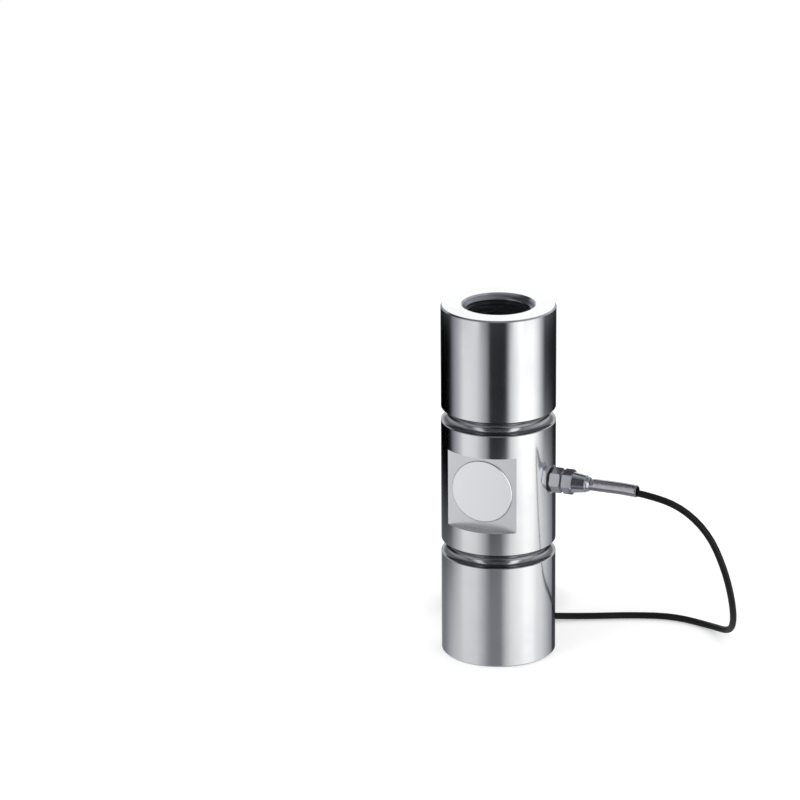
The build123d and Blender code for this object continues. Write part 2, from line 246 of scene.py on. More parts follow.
crossing_share, climbing_swell = 0.46, 0.33
cable_points = [*cable_route, round_coil(coil_lead_in_angle, join_r, join_height)]
last_step = int(turns * points_per_turn)
turn_step = 360 / points_per_turn

# The line cuts the corners between its points, so round the coil they stand further out.
outside_corners = 4 / (3 + cos(radians(turn_step)))
for step in range(1, last_step):
    turns_laid = step / points_per_turn + 0.5
    crossing = min(round(turns_laid), len(bundle_order) - 1)
    (out, up), (next_out, next_up) = bundle_order[crossing - 1 : crossing + 1]
    share = min(1, max(0, (turns_laid - crossing) / crossing_share + 0.5))
    if up != next_up:
        out += climbing_swell * sin(pi * share) * (-1 if out == 0 else 1)
        next_out = out
    out += (next_out - out) * ease(share)
    up += (next_up - up) * ease(share)
    from_end = min(step, last_step - step)
    aside = ease(max(0, 1 - from_end / steps_to_settle))
    lifted = ease(max(0, 1 - from_end / steps_to_level))
    turn_r = (coil_mid_r + (out - coil_middle_column) * cable_dia) * outside_corners
    turn_height = coil_bottom + (up + 0.5) * cable_dia
    cable_points.append(
        round_coil(
            coil_lead_in_angle - step * turn_step,
            turn_r + (join_r - turn_r) * aside,
            turn_height + (join_height - turn_height) * lifted,
        )
    )
tail_turn = radians(coil_lead_in_angle + 90)
tail_forward = Vector((cos(tail_turn), sin(tail_turn), 0))
tail_aside = Vector((-sin(tail_turn), cos(tail_turn), 0))
tail_base = Vector(round_coil(coil_lead_in_angle + 180, join_r, join_height))
tail_end = 10.0
cable_points += [tail_base + tail_forward * place for place in (0, tail_end / 2, tail_end)]


def smooth_line(name, points, dia):
    """Curve object data of one NURBS spline with these control points, in millimetres."""
    curve = bpy.data.curves.new(name, "CURVE")
    curve.dimensions = "3D"
    curve.resolution_u = 4
    spline = curve.splines.new("NURBS")
    spline.points.add(len(points) - 1)
    for control, point in zip(spline.points, points):
        control.co = (*(Vector(point) * mm), 1.0)
        control.radius = dia / 2 * mm
    spline.order_u = 3
    spline.use_endpoint_u = True
    return curve


def make_round(curve, bevel_resolution):
    """Turns a line into a round cord, whose points hold its radius."""
    curve.bevel_depth = 1.0
    curve.bevel_resolution = bevel_resolution
    curve.use_fill_caps = True


cable_curve = smooth_line("signal_cable", cable_points, cable_dia)
signal_cable = add_piece(cable_curve, "signal_cable", jacket)
cable_line_mesh = bpy.data.meshes.new_from_object(signal_cable)
cable_line = [vertex.co.copy() for vertex in cable_line_mesh.vertices]
bpy.data.meshes.remove(cable_line_mesh)
make_round(cable_curve, 6)
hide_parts("cable", "cable_coil", "cable_tail")


# Kink guard: close-wound flattened wire, sprung over the cable and held in the nut by a wider
# first turn. It bends a little under its own weight, and the cable lies low in its end.
def mesh_from(bm, name, smooth_below=40.0):
    """Mesh of a finished bmesh, closed and facing outwards."""
    bmesh.ops.remove_doubles(bm, verts=bm.verts, dist=1e-7)
    bmesh.ops.recalc_face_normals(bm, faces=bm.faces)

    # That goes by one outermost face, so where folds lie on one another it can turn a shell
    # inside out, and its volume is then negative.
    if bm.calc_volume(signed=True) < 0:
        bmesh.ops.reverse_faces(bm, faces=bm.faces)
    for edge in bm.edges:
        edge.smooth = len(edge.link_faces) == 2 and edge.calc_face_angle(0) < radians(smooth_below)
    for face in bm.faces:
        face.smooth = True
    mesh = bpy.data.meshes.new(name)
    bm.to_mesh(mesh)
    bm.free()
    return mesh


def corners_in(parts):
    """The vertices among what a bmesh operator has returned."""
    return [part for part in parts if isinstance(part, bmesh.types.BMVert)]


def closed_line(bm, profile):
    """Adds a closed profile, and returns its vertices and its edges."""
    corners = [bm.verts.new(point) for point in profile]
    return corners, [bm.edges.new(pair) for pair in zip(corners, corners[1:] + corners[:1])]


def wound(bm, profile, axis, centre, turns_wound, steps_per_turn, pitch):
    """Turns a closed profile into a helix round an axis, and closes its two ends."""
    steps = round(turns_wound * steps_per_turn)
    corners, edges = closed_line(bm, profile)
    bm.faces.new(corners)
    last = bmesh.ops.spin(
        bm,
        geom=corners + edges,
        angle=radians(360) * turns_wound,
        steps=steps,
        axis=axis,
        cent=centre,
        dvec=Vector(axis) * (pitch * turns_wound / steps),
    )["geom_last"]
    bm.faces.new(corners_in(last))


guard_wire = Finish("guard_wire", metallic=1.0)
guard_smudge = noise(guard_wire.place, 180.0, 3.0)
guard_wire.set(
    base_color=blend_colours(guard_smudge, (0.5, 0.49, 0.53), (0.56, 0.55, 0.58)),
    roughness=0.12 + guard_smudge * 0.06,
    normal=relief(noise(guard_wire.place, 2000.0), 0.002 * mm),
)

guard_start, guard_end = 59.5, 97.9
guard_straight_end = 64.9
guard_pitch = 0.8
guard_outer_r = 3.8
guard_flange_r = 4.35
guard_flange_length = 0.8
guard_low_end_lift = 0.8
guard_swell, guard_rise, guard_swell_run = 0.3, 0.35, 3.0
guard_mouth_length, guard_mouth_turn_in = 1.2, 0.85

# Section of the wire: place along the guard, depth under its outer radius
guard_wire_section = [
    (0.01, 0.6), (0.01, 0.09), (0.05, 0.055), (0.4, 0.028), (0.75, 0.0), (0.79, 0.03), (0.79, 0.6),
]


def cable_height(x):
    """Height of the cable's middle above the floor, where it passes this x near the gland."""
    for before, after in zip(cable_line, cable_line[1:]):
        if before.x <= x <= after.x:
            return before.z + (after.z - before.z) * (x - before.x) / (after.x - before.x)
    return gland_height * mm


guard = bmesh.new()
wound(
    guard,
    [
        ((guard_start + along) * mm, 0, (gland_height + guard_outer_r - depth) * mm)
        for along, depth in guard_wire_section
    ],
    axis=(1, 0, 0),
    centre=(0, 0, gland_height * mm),
    turns_wound=(guard_end - guard_start) / guard_pitch - 1,
    steps_per_turn=28,
    pitch=guard_pitch * mm,
)
for vertex in guard.verts:
    x = vertex.co.x / mm
    if x < guard_start + guard_flange_length:
        growth = guard_flange_r / guard_outer_r
        vertex.co.y *= growth
        vertex.co.z = (vertex.co.z - gland_height * mm) * growth + gland_height * mm
    free = ease(min(1, max(0, (x - guard_straight_end) / guard_swell_run)))
    turned_in = max(0, (x - guard_end + guard_mouth_length) / guard_mouth_length) ** 2
    growth = 1 + (guard_swell * free - guard_mouth_turn_in * turned_in) / guard_outer_r
    vertex.co.y *= growth
    vertex.co.z = gland_height * mm + (vertex.co.z - gland_height * mm) * growth + guard_rise * mm * free
    along = max(0, (x - guard_straight_end) / (guard_end - guard_straight_end))
    vertex.co.z += cable_height(vertex.co.x) - gland_height * mm + guard_low_end_lift * mm * ease(along)
kink_guard = add_piece(mesh_from(guard, "kink_guard"), "kink_guard", guard_wire)
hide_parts("kink_guard_sleeve")


# Cable ties: moulded nylon bands round the bundle of turns, each with a ribbed face, a
# square lock on top and the cut end of its strap standing out of the lock.
def box(bm, size, place):
    """Adds a box of this size round a place, and returns its edges."""
    corners = bmesh.ops.create_cube(bm, size=1.0)["verts"]
    bmesh.ops.scale(bm, verts=corners, vec=size)
    bmesh.ops.translate(bm, verts=corners, vec=place)
    return list(dict.fromkeys(edge for corner in corners for edge in corner.link_edges))


def round_edges(bm, edges, radius, segments):
    """Rounds edges with so many faces each."""
    bmesh.ops.bevel(
        bm, geom=edges, offset=radius, segments=segments, profile=0.5, affect="EDGES", material=-1
    )


nylon = Finish("tie_nylon")
nylon_grain = noise(nylon.place, 1600.0, 2.0)
nylon.set(
    base_color=blend_colours(noise(nylon.place, 90.0), (0.02, 0.02, 0.021), (0.035, 0.035, 0.035)),
    roughness=0.38 + nylon_grain * 0.14,
    normal=relief(nylon_grain, 0.02 * mm),
)

bundle_side = 18.0
tie_width, tie_thickness, tie_play = 3.6, 1.2, 0.2
tie_corner_r = 2.45
tie_rib_pitch, tie_ribs_each_way = 1.1, 6
tie_rib_height, tie_rib_width, tie_rib_length = 0.4, 0.5, 2.232
lock_size, lock_height = 5.4, 4.0
slot_wall, slot_depth, slot_draft = 1.0, 1.0, 0.05
cut_strap_length, cut_strap_thickness, cut_strap_width = 2.2, 0.9, 0.8 * tie_width
cut_strap_sunk, cut_strap_aside = 0.8, 0.3
rim_round, lock_round, strap_round = 0.25, 0.5, 0.12
for number, turn in enumerate((coil_lead_in_angle + 90, coil_lead_in_angle - 90), start=1):
    tie = bmesh.new()
    inner_half = bundle_side / 2 + tie_play
    bmesh.ops.create_grid(tie, x_segments=1, y_segments=1, size=inner_half)
    bmesh.ops.bevel(
        tie,
        geom=list(tie.verts),
        offset=tie_corner_r,
        segments=5,
        profile=0.5,
        affect="VERTICES",
        material=-1,
    )
    plate = list(tie.faces)
    risen = bmesh.ops.extrude_face_region(tie, geom=plate)["geom"]
    bmesh.ops.translate(tie, verts=corners_in(risen), vec=(0, 0, tie_width))
    flat_ends = [face for face in tie.faces if abs(face.normal.z) > 0.5]
    bmesh.ops.delete(tie, geom=flat_ends, context="FACES")
    bmesh.ops.recalc_face_normals(tie, faces=tie.faces)
    if sum(face.normal.dot(face.calc_center_median()) for face in tie.faces) > 0:
        bmesh.ops.reverse_faces(tie, faces=tie.faces)
    bmesh.ops.solidify(tie, geom=list(tie.faces), thickness=tie_thickness)
    bmesh.ops.translate(tie, verts=tie.verts, vec=(0, 0, -tie_width / 2))
    bmesh.ops.recalc_face_normals(tie, faces=tie.faces)
    rims = [e for e in tie.edges if len(e.link_faces) == 2 and e.calc_face_angle(0) > 1.2]
    round_edges(tie, rims, rim_round, 2)

    # Lock, rounded all over, with a slot in its top and the cut end of the strap in the slot
    lock_bottom = inner_half + tie_thickness / 2
    lock_edges = box(tie, (lock_size, lock_height, lock_size), (0, lock_bottom + lock_height / 2, 0))
    round_edges(tie, lock_edges, lock_round, 3)
    lock_top = max(tie.faces, key=lambda face: face.calc_center_median().y)
    bmesh.ops.inset_individual(tie, faces=[lock_top], thickness=slot_wall)
    bmesh.ops.inset_individual(tie, faces=[lock_top], thickness=slot_draft, depth=-slot_depth)
    strap_edges = box(
        tie,
        (cut_strap_thickness, cut_strap_length, cut_strap_width),
        (cut_strap_aside, lock_bottom + lock_height - cut_strap_sunk, 0),
    )
    round_edges(tie, strap_edges, strap_round, 2)

    # Ribs across the strap, on its two upright faces
    for side in (-1, 1):
        for rib in range(-tie_ribs_each_way, tie_ribs_each_way + 1):
            box(
                tie,
                (tie_rib_height, tie_rib_width, tie_rib_length),
                (side * (inner_half + tie_thickness), rib * tie_rib_pitch, 0),
            )
    outward = Vector((cos(radians(turn)), sin(radians(turn)), 0))
    upright = Matrix((outward, Vector((0, 0, 1)), outward.cross(Vector((0, 0, 1))))).transposed()
    bmesh.ops.scale(tie, verts=tie.verts, vec=(mm, mm, mm))
    bmesh.ops.transform(tie, verts=tie.verts, matrix=upright.to_4x4())
    bmesh.ops.translate(
        tie,
        verts=tie.verts,
        vec=Vector(round_coil(turn, coil_mid_r, coil_bottom + bundle_side / 2)) * mm,
    )
    name = f"tie_band_{number}"
    tie_piece = add_piece(mesh_from(tie, name), name, nylon)
    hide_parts(f"cable_tie_{number}")


# Shrink sleeve: thin polyolefin tube shrunk over the end of the jacket and the five cores,
# so that it steps down where the jacket stops.
def revolved(bm, profile, axis, steps):
    """Turns a closed profile once round an axis through the origin."""
    corners, edges = closed_line(bm, profile)
    bmesh.ops.spin(
        bm,
        geom=corners + edges,
        angle=radians(360),
        steps=steps,
        axis=axis,
        cent=(0, 0, 0),
        use_merge=True,
    )


shrunk = Finish("shrunk_tube")
shrunk_grain = noise(shrunk.place, 900.0, 3.0)
shrunk.set(
    base_color=blend_colours(shrunk_grain, (0.016, 0.016, 0.018), (0.03, 0.03, 0.032)),
    roughness=0.5 + shrunk_grain * 0.12,
    normal=relief(shrunk_grain, 0.06 * mm, 0.5),
)

# Wall of the tube, round its outside and back through its inside: place along it, radius
shrink_profile = [
    (6.0, 2.62), (6.3, 2.82), (6.9, 2.88), (9.0, 2.88), (10.2, 2.86), (11.2, 2.66),
    (12.6, 2.56), (15.2, 2.56), (15.8, 2.62), (16.0, 2.5), (15.9, 2.2), (12.8, 2.15),
    (11.0, 2.2), (10.3, 2.33), (6.1, 2.33),
]
tube = bmesh.new()
shrink_line = [(place * mm, radius * mm, 0) for place, radius in shrink_profile]
revolved(tube, shrink_line, axis=(1, 0, 0), steps=48)
tail_matrix = (
    Matrix.Translation(tail_base * mm)
    @ Matrix((tail_forward, tail_aside, Vector((0, 0, 1)))).transposed().to_4x4()
)
bmesh.ops.transform(tube, verts=tube.verts, matrix=tail_matrix)
shrink_tube = add_piece(mesh_from(tube, "shrink_tube"), "shrink_tube", shrunk)
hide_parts("tail_shrink_sleeve")


# Cores: five insulated wires fan out of the shrink sleeve down to the floor. Each is stripped
# for 4 mm, and its tinned strands are twisted together.
tinned = Finish("tinned_strands", metallic=1.0)
tinned_grain = noise(tinned.place, 3000.0, 2.0)
tinned.set(
    base_color=blend_colours(tinned_grain, (0.62, 0.61, 0.58), (0.78, 0.77, 0.74)),
    roughness=0.28 + tinned_grain * 0.16,
)

core_dia, core_ring = 1.2, 1.25
core_fan, core_rest_height = 3.2, 2.4
core_straight, core_parting, core_spreading, core_landing = 14.0, 17.5, 22.0, 29.0
spread_there = 0.39
tip_length, tip_sunk = 4.0, 1.0
strand_count, strand_steps, strand_twist = 7, 16, 300.0
strand_ridge_r, strand_valley_r = 0.4, 0.33
core_colours = {
    "shield": (180, (0.55, 0.45, 0.12)),
    "white": (252, (0.78, 0.78, 0.75)),
    "green": (108, (0.03, 0.3, 0.09)),
    "black": (324, (0.02, 0.02, 0.02)),
    "red": (36, (0.55, 0.025, 0.025)),
}
core_pieces = []
for number, (colour_name, (turn, colour)) in enumerate(core_colours.items()):
    insulation = Finish(f"insulation_{colour_name}")
    rubbed = noise(insulation.place, 700.0, 3.0)
    insulation.set(
        base_color=blend_colours(rubbed, tuple(0.85 * c for c in colour), tuple(1.15 * c for c in colour)),
        roughness=0.32 + rubbed * 0.14,
        normal=relief(rubbed, 0.02 * mm),
    )
    ring_y, ring_z = core_ring * cos(radians(turn)), core_ring * sin(radians(turn))
    fan_y, fan_z = (number - 2) * core_fan, core_rest_height - join_height
    core_points = [
        (tail_end, ring_y, ring_z),
        (core_straight, ring_y, ring_z),
        (core_parting, ring_y, ring_z),
        (core_spreading, ring_y + (fan_y - ring_y) * spread_there, ring_z + (fan_z - ring_z) * spread_there),
        (core_landing, fan_y, fan_z),
    ]
    core_points = [
        tail_base + tail_forward * place + tail_aside * y + Vector((0, 0, z)) for place, y, z in core_points
    ]
    core_curve = smooth_line(f"core_{colour_name}_insulation", core_points, core_dia)
    make_round(core_curve, 4)
    core_piece = add_piece(
        core_curve, f"core_{colour_name}_insulation", insulation
    )
    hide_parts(f"core_{colour_name}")

    # Twisted strands, from inside the insulation to the end of the tip
    tip_way = (core_points[-1] - core_points[-2]).normalized()
    strands = bmesh.new()
    ring = [
        strands.verts.new(
            Vector((cos(pi * k / strand_count), sin(pi * k / strand_count), 0))
            * (strand_ridge_r if k % 2 else strand_valley_r)
        )
        for k in range(2 * strand_count)
    ]
    rope_edges = list(strands.faces.new(ring).edges)
    for _ in range(strand_steps):
        grown = bmesh.ops.extrude_edge_only(strands, edges=rope_edges)["geom"]
        outline = corners_in(grown)
        rope_edges = [
            e for e in grown if isinstance(e, bmesh.types.BMEdge) and all(v in outline for v in e.verts)
        ]
        bmesh.ops.translate(strands, verts=outline, vec=(0, 0, (tip_length + tip_sunk) / strand_steps))
        bmesh.ops.rotate(
            strands,
            verts=outline,
            cent=(0, 0, 0),
            matrix=Matrix.Rotation(radians(strand_twist / strand_steps), 3, "Z"),
        )
    bmesh.ops.holes_fill(strands, edges=rope_edges, sides=2 * strand_count)
    tip_turn = tip_way.to_track_quat("Z", "Y").to_matrix().to_4x4()
    tip_matrix = Matrix.Translation(core_points[-1] - tip_way * tip_sunk) @ tip_turn
    bmesh.ops.transform(strands, verts=strands.verts, matrix=tip_matrix)
    bmesh.ops.scale(strands, verts=strands.verts, vec=(mm, mm, mm))
    tip_name = f"core_{colour_name}_strands"
    tip_piece = add_piece(mesh_from(strands, tip_name, 180.0), tip_name, tinned)
    core_pieces += [core_piece, tip_piece]


# Floor and light: a pale floor, a white room, soft lamps for what isn't metal, and a tent
# of grey and white cards round the cell, which only its polished surfaces see.
def link_surface(material, signal):
    """Feeds a signal to the material's or the world's own output."""
    tree = material.node_tree
    output = next(n for n in tree.nodes if n.type in ("OUTPUT_MATERIAL", "OUTPUT_WORLD"))
    tree.links.new(signal.socket, output.inputs["Surface"])


def seen_directly(start):
    """1 for camera rays, and for rays that metal or glass sends on."""
    rays = [
        start.node("LightPath", output=kind)
        for kind in ("Is Camera Ray", "Is Glossy Ray", "Is Transmission Ray")
    ]
    return start.maths("MAXIMUM", start.maths("MAXIMUM", rays[0], rays[1]), rays[2])


room = bpy.data.worlds.new("white_room")
room.use_nodes = True
bpy.context.scene.world = room
room_start = Signal(room.node_tree)
room_light = 0.62
room_strength = room_light + seen_directly(room_start) * (1 - room_light)
link_surface(
    room, room_start.node("Background", None, {"Color": (1, 1, 1, 1), "Strength": room_strength})
)

floor_half_side, floor_glow_level = 8.0, 0.36
floor_mesh = bmesh.new()
bmesh.ops.create_grid(floor_mesh, x_segments=1, y_segments=1, size=floor_half_side)
floor_data = mesh_from(floor_mesh, "floor")
floor = bpy.data.objects.new("floor", floor_data)
bpy.context.scene.collection.objects.link(floor)
floor_paint = bpy.data.materials.new("pale_floor")
floor_paint.use_nodes = True
floor_start = Signal(floor_paint.node_tree)
floor_grey = noise(floor_start.node("TexCoord", output="Object"), 3.0)
floor_matt = floor_start.node(
    "BsdfDiffuse", None, {"Color": blend_colours(floor_grey, (0.84, 0.84, 0.84), (0.86, 0.86, 0.86))}
)
from_camera = floor_start.node("LightPath", output="Is Camera Ray")
floor_glow = floor_start.node("Emission", None, {"Strength": from_camera * floor_glow_level})
link_surface(floor_paint, floor_start.node("AddShader", None, {0: floor_matt, 1: floor_glow}))
floor_data.materials.append(floor_paint)
floor.visible_glossy = False


def soft_lamp(name, place, size, watts):
    """Square soft lamp that points at the middle of the column."""
    light = bpy.data.lights.new(name, "AREA")
    light.size = size
    light.energy = watts
    lamp = bpy.data.objects.new(name, light)
    lamp.location = place
    lamp.rotation_mode = "QUATERNION"
    lamp.rotation_quaternion = (middle_of_column - Vector(place)).to_track_quat("-Z", "Y")
    lamp.visible_glossy = False
    bpy.context.scene.collection.objects.link(lamp)


soft_lamp("key_lamp", (-0.9, -1.3, 1.7), 1.2, 14.0)
soft_lamp("side_lamp", (1.6, -0.9, 1.1), 1.0, 7.0)
soft_lamp("back_lamp", (0.3, 1.7, 1.3), 1.2, 7.0)

tent_r, tent_low, tent_high = 0.6, -0.6, 1.4
tent_mesh = bmesh.new()
bmesh.ops.create_cone(
    tent_mesh,
    cap_ends=False,
    segments=128,
    radius1=tent_r,
    radius2=tent_r,
    depth=tent_high - tent_low,
    matrix=Matrix.Translation((0, 0, (tent_high + tent_low) / 2)),
)
for tent_end in (tent_low, tent_high):
    bmesh.ops.create_circle(
        tent_mesh, cap_ends=True, radius=tent_r, segments=64, matrix=Matrix.Translation((0, 0, tent_end))
    )
tent_data = mesh_from(tent_mesh, "tent")
tent = bpy.data.objects.new("tent", tent_data)
bpy.context.scene.collection.objects.link(tent)
tent_cards = bpy.data.materials.new("tent_cards")
tent_cards.use_nodes = True
tent_cards.cycles.emission_sampling = "NONE"
tent_place = Signal(tent_cards.node_tree).node("TexCoord", output="Object")
tent_x, tent_y, tent_z = (part_of(tent_place, axis) for axis in "XYZ")
tent_right = tent_x * cos(view_turn) + tent_y * sin(view_turn)
tent_front = tent_x * sin(view_turn) - tent_y * cos(view_turn)
tent_turn = tent_x.maths("ARCTAN2", tent_right, tent_front) / (2 * pi) + 0.5
brightest = 1.5


def card(level):
    """Colour of a card of this brightness: the dimmer it is, the cooler."""
    dimness = max(0, 1 - level)
    return tuple(level / brightest * (1 + cool * dimness) for cool in (0, 0.05, 0.17))


def cards(stops):
    """Brightness round the tent, from (degrees to the camera's right, brightness) stops."""
    return tent_turn.node(
        "ValToRGB",
        {"stops": [(0.5 + turn / 360, card(level)) for turn, level in stops]},
        {"Fac": tent_turn},
    )


upper_cards = cards(
    [
        (-180, 0.4), (-168, 0.4), (-160, 0.0), (-115, 0.0), (-108, 0.03), (-98, 0.26), (-84, 0.52),
        (-72, 0.88), (-58, 0.88), (-44, 0.8), (-30, 0.48), (-22, 0.3), (-16, 0.03), (12, 0.02),
        (16, 0.1), (24, 0.75), (34, 1.05), (44, 1.4), (70, 1.4), (80, 1.1), (93, 0.44), (102, 0.05),
        (123, 0.02), (150, 0.01), (160, 0.02), (168, 0.4), (180, 0.4),
    ]
)
lower_cards = cards(
    [
        (-180, 0.5), (-168, 0.4), (-150, 0.2), (-130, 0.25), (-112, 0.45), (-98, 0.57), (-84, 0.66),
        (-72, 0.78), (-58, 0.78), (-44, 0.74), (-30, 0.5), (-22, 0.32), (-14, 0.23), (4, 0.23),
        (14, 0.6), (24, 0.87), (34, 1.0), (44, 1.1), (54, 1.28), (70, 1.22), (82, 0.93), (94, 0.83),
        (108, 0.6), (126, 0.34), (140, 0.05), (160, 0.05), (168, 0.3), (180, 0.5),
    ]
)
high_cards = cards(
    [
        (-180, 1.25), (-168, 1.25), (-158, 0.35), (-130, 0.4), (-100, 0.35), (-80, 0.3), (-64, 0.1),
        (-54, 0.5), (-47, 1.05), (-38, 1.05), (-34, 0.07), (0, 0.09), (26, 0.07), (29, 1.5), (45, 1.5),
        (48, 0.1), (60, 0.3), (80, 0.4), (110, 0.6), (130, 0.6), (158, 0.35), (168, 1.25), (180, 1.25),
    ]
)
ground_cards = cards(
    [
        (-180, 0.55), (-150, 0.5), (-100, 0.3), (-60, 0.25), (-20, 0.12), (20, 0.12), (60, 0.3),
        (100, 0.4), (150, 0.5), (180, 0.55),
    ]
)
top_cards = cards(
    [
        (-180, 0.05), (-110, 0.05), (-90, 0.2), (-60, 0.2), (-40, 0.05), (30, 0.05), (60, 0.3),
        (120, 0.45), (150, 0.3), (165, 0.05), (180, 0.05),
    ]
)
roof_cards = cards(
    [
        (-180, 0.9), (-170, 0.85), (-161, 0.04), (-108, 0.04), (-95, 0.15), (-75, 0.22), (50, 0.22),
        (80, 0.5), (110, 0.6), (130, 0.04), (166, 0.04), (174, 0.85), (180, 0.9),
    ]
)

# Heights in metres between which each ring of cards passes into the next, and distances from
# the axis between which the middle of the roof and of the bottom do. The seam over the lower
# cards slopes to one side, and the high cards reach further up in front.
lower_seam, upper_seam, high_seam, top_seam = (-0.32, -0.24), (-0.19, -0.03), (0.04, 0.12), (0.5, 0.6)
upper_seam_slope = 0.08
roof_middle, bottom_middle = (0.06, 0.12), (0.3, 0.45)
front_reach = tent_front.maths("MAXIMUM", tent_front, 0.0)
all_cards = blend_colours(smooth_step(tent_z, *lower_seam), ground_cards, lower_cards)
above_lower = smooth_step(tent_z - tent_right * upper_seam_slope, *upper_seam)
all_cards = blend_colours(above_lower, all_cards, upper_cards)
all_cards = blend_colours(smooth_step(tent_z, *high_seam), all_cards, high_cards)
all_cards = blend_colours(smooth_step(tent_z - front_reach, *top_seam), all_cards, top_cards)
from_axis = tent_x.maths("SQRT", tent_x * tent_x + tent_y * tent_y)
roof_cards = blend_colours(smooth_step(from_axis, *roof_middle), card(0.5), roof_cards)
all_cards = blend_colours(tent_z > tent_high - mm, all_cards, roof_cards)
bottom_cards = blend_colours(smooth_step(from_axis, *bottom_middle), card(0.45), ground_cards)
all_cards = blend_colours(tent_z < tent_low + mm, all_cards, bottom_cards)
link_surface(
    tent_cards, tent_place.node("Emission", None, {"Color": all_cards, "Strength": brightest})
)
tent_data.materials.append(tent_cards)
tent.visible_camera = False
tent.visible_diffuse = False
tent.visible_shadow = False
tent.visible_transmission = False
tent.visible_volume_scatter = False


# Column body: one piece of stainless steel bar, turned all over with a fine feed, its two
# flats and the ledges above and below them milled afterwards, and its holes bored.
def dress(finish, *names):
    """Gives CAD nodes a finish in place of their plain one."""
    for name in names:
        for material_slot in cad_nodes[name].material_slots:
            material_slot.material = finish.material


body_r, body_length = 38.0, 241.0
flat_distance, flat_low, flat_high = 29.4, 94.5, 146.5
cover_seat_reach, bores_reach_r = 3.0, 23.4
groove_height, groove_half_width, groove_reach_r = 46.1, 4.45, 30.0
flank_starts, flank_ends = (0.7, 1.3), (2.4, 3.0)
under_skin, under_lip, face_margin = 0.1, 0.2, 0.02
steel = Finish("turned_steel", metallic=1.0)
steel_x, steel_y, steel_z = (part_of(steel.place, axis) for axis in "XYZ")
steel_r = steel.place.maths("SQRT", steel_x * steel_x + steel_y * steel_y)
inside_skin = steel_r < (body_r - under_skin) * mm
between_ledges = (steel_z > flat_low * mm) * (steel_z < flat_high * mm)
milled = between_ledges * inside_skin * (abs(steel_y) < (flat_distance + face_margin) * mm)
milled = milled * (abs(steel_y) > (flat_distance - cover_seat_reach) * mm)
ledge = abs(steel_z - flat_low * mm) < face_margin * mm
ledge = (ledge + (abs(steel_z - flat_high * mm) < face_margin * mm)) * inside_skin
milled = steel.place.maths("MAXIMUM", milled, ledge)
bored = steel_r < bores_reach_r * mm
turning_marks = lines(steel_z + steel_r, 0.16 * mm)
milling_marks = lines(steel_x + noise(steel.place, 40.0) * 0.4 * mm, 0.3 * mm)
marks = turning_marks + (milling_marks - turning_marks) * milled
# Painted shade in the two grooves: their steel is darker, darkest over the groove floor and towards the lips,
# and less dark on a band of each flank between them.
from_groove = abs(abs(steel_z - body_length / 2 * mm) - groove_height * mm)
grooved = (from_groove < groove_half_width * mm) * (steel_r < (body_r - under_lip) * mm)
grooved = grooved * (steel_r > groove_reach_r * mm)
past_floor, past_flank = (
    smooth_step(from_groove, start * mm, end * mm) for start, end in (flank_starts, flank_ends)
)
painted_groove_shade = blend_colours(past_floor - past_flank, (0.27, 0.275, 0.29), (0.58, 0.585, 0.6))
smudges = smooth_step(noise(steel.place, 28.0, 4.0, 0.6), 0.42, 0.8)
bright_steel = blend_colours(smudges, (0.76, 0.765, 0.77), (0.71, 0.715, 0.725))
milled_steel = blend_colours(milling_marks, (0.84, 0.845, 0.855), (0.9, 0.905, 0.915))
outer_steel = blend_colours(milled, bright_steel, milled_steel)
# Painted shade: the ledges above and below the flats are given a much darker steel colour.
outer_steel = blend_colours(ledge, outer_steel, (0.45, 0.455, 0.47))
# The grooves take the painted shade in place of the outer steel's colour.
outer_steel = blend_colours(grooved, outer_steel, painted_groove_shade)
# Painted shade: inside the bores the steel's colour is made much darker than outside.
steel.set(
    base_color=blend_colours(bored, outer_steel, (0.42, 0.43, 0.46)),
    roughness=0.1 + turning_marks * 0.04 + smudges * 0.04 + milled * 0.22 + bored * 0.16 + grooved * 0.08,
    normal=relief(marks, 0.004 * mm),
)
dress(steel, "column_body")


# Threads: right-handed, 45 mm by 3 mm pitch, cut in both ends. Each ridge runs from the
# mouth chamfer, which cuts its first turn away, to the relief at the bottom.
# The ridges' steel is painted darker than the outside steel, as painted shade inside the bores. Its grain
# varies the tone at random.
thread_steel = Finish("thread_steel", metallic=1.0)
thread_grain = noise(thread_steel.place, 1200.0, 3.0)
thread_steel.set(
    base_color=blend_colours(thread_grain, (0.38, 0.39, 0.42), (0.5, 0.51, 0.53)),
    roughness=0.26 + thread_grain * 0.12,
)
thread_pitch, thread_depth = 3.0, 50.0
thread_crest_r, ridge_root_r = 20.88, 22.55
ridge_base_width, ridge_crest_width = 2.62, 0.75
ridge_turns, ridge_overrun = 16, 0.6
mouth_r = 24.45
for end in ("top", "bottom"):
    ridge = bmesh.new()
    middle = body_length - thread_depth - ridge_overrun + ridge_base_width / 2
    wound(
        ridge,
        [
            (ridge_root_r * mm, 0, (middle - ridge_base_width / 2) * mm),
            (ridge_root_r * mm, 0, (middle + ridge_base_width / 2) * mm),
            (thread_crest_r * mm, 0, (middle + ridge_crest_width / 2) * mm),
            (thread_crest_r * mm, 0, (middle - ridge_crest_width / 2) * mm),
        ],
        axis=(0, 0, 1),
        centre=(0, 0, 0),
        turns_wound=ridge_turns,
        steps_per_turn=64,
        pitch=thread_pitch * mm,
    )
    for vertex in ridge.verts:
        radius = vertex.co.xy.length
        depth = body_length * mm - vertex.co.z
        cut_r = min(ridge_root_r * mm, mouth_r * mm - depth)
        if radius < cut_r:
            vertex.co.xy *= cut_r / radius
    if end == "bottom":
        bmesh.ops.rotate(
            ridge, verts=ridge.verts, cent=middle_of_column, matrix=Matrix.Rotation(pi, 3, "X")
        )
    name = f"{end}_thread_ridge"
    add_piece(mesh_from(ridge, name, 25.0), name, thread_steel)


